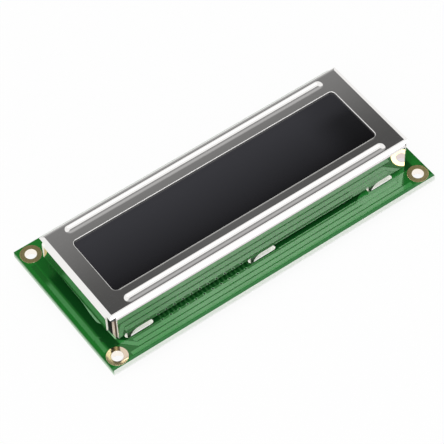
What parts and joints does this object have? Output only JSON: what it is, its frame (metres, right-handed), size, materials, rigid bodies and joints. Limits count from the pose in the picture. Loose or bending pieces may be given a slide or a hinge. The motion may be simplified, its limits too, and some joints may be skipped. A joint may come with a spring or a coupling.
{
  "type": "character lcd module",
  "caption": "Flat two-line character display on a drilled circuit board: stamped metal bezel with long window over a dark glass cell, held by twisted tabs.",
  "frame": {"origin": "centre of the four mounting holes, on the back face of the circuit board", "axes": "+X along the long edge, +Y towards the edge with the row of header holes, +Z out of the display face"},
  "size_m": [0.08, 0.036, 0.0116],
  "materials": {
    "solder_mask": "green solder mask on glass epoxy laminate",
    "masked_copper": "copper under green solder mask",
    "tinned_copper": "bare plated copper",
    "gold_plate": "thin gold plate",
    "bezel_steel": "bright stamped sheet",
    "silicone_rubber": "matt silicone rubber with conductive layers",
    "cell_glass": "polished",
    "polarizer_film": "glossy dark film",
    "seal_resin": "epoxy seal",
    "white_plastic": "white moulded plastic",
    "black_plastic": "black moulded plastic",
    "milky_plastic": "milky diffusing plastic",
    "led_chip": "clear resin over light-emitting chips",
    "solder": "bright solder",
    "black_resin": "poured black resin",
    "resistor_ceramic": "black glazed ceramic",
    "capacitor_ceramic": "tan ceramic"
  },
  "bodies": {
    "root": {"backlight_board": "white_plastic", "backlight_diffuser": "milky_plastic", "backlight_housing": "black_plastic", "backlight_lead_anode": "tinned_copper", "backlight_lead_cathode": "tinned_copper", "backlight_leds": "led_chip", "bezel": "bezel_steel", "capacitor": "capacitor_ceramic", "capacitor_end_caps": "solder", "chip_solder": "solder", "circuit_board": "solder_mask", "contact_fingers_far": "gold_plate", "contact_fingers_near": "gold_plate", "controller_glob": "black_resin", "driver_glob": "black_resin", "front_glass": "cell_glass", "front_polarizer": "polarizer_film", "front_traces": "masked_copper", "header_hole_plating": "tinned_copper", "lead_solder_anode": "solder", "lead_solder_cathode": "solder", "mounting_hole_plating": "tinned_copper", "perimeter_seal": "seal_resin", "rear_glass": "cell_glass", "rear_polarizer": "polarizer_film", "resistor_1": "resistor_ceramic", "resistor_1_end_caps": "solder", "resistor_2": "resistor_ceramic", "resistor_2_end_caps": "solder", "resistor_3": "resistor_ceramic", "resistor_3_end_caps": "solder", "resistor_4": "resistor_ceramic", "resistor_4_end_caps": "solder", "resistor_5": "resistor_ceramic", "resistor_5_end_caps": "solder", "rubber_strip_far": "silicone_rubber", "rubber_strip_near": "silicone_rubber", "tab_slot_pads": "tinned_copper"}
  },
  "joints": []
}
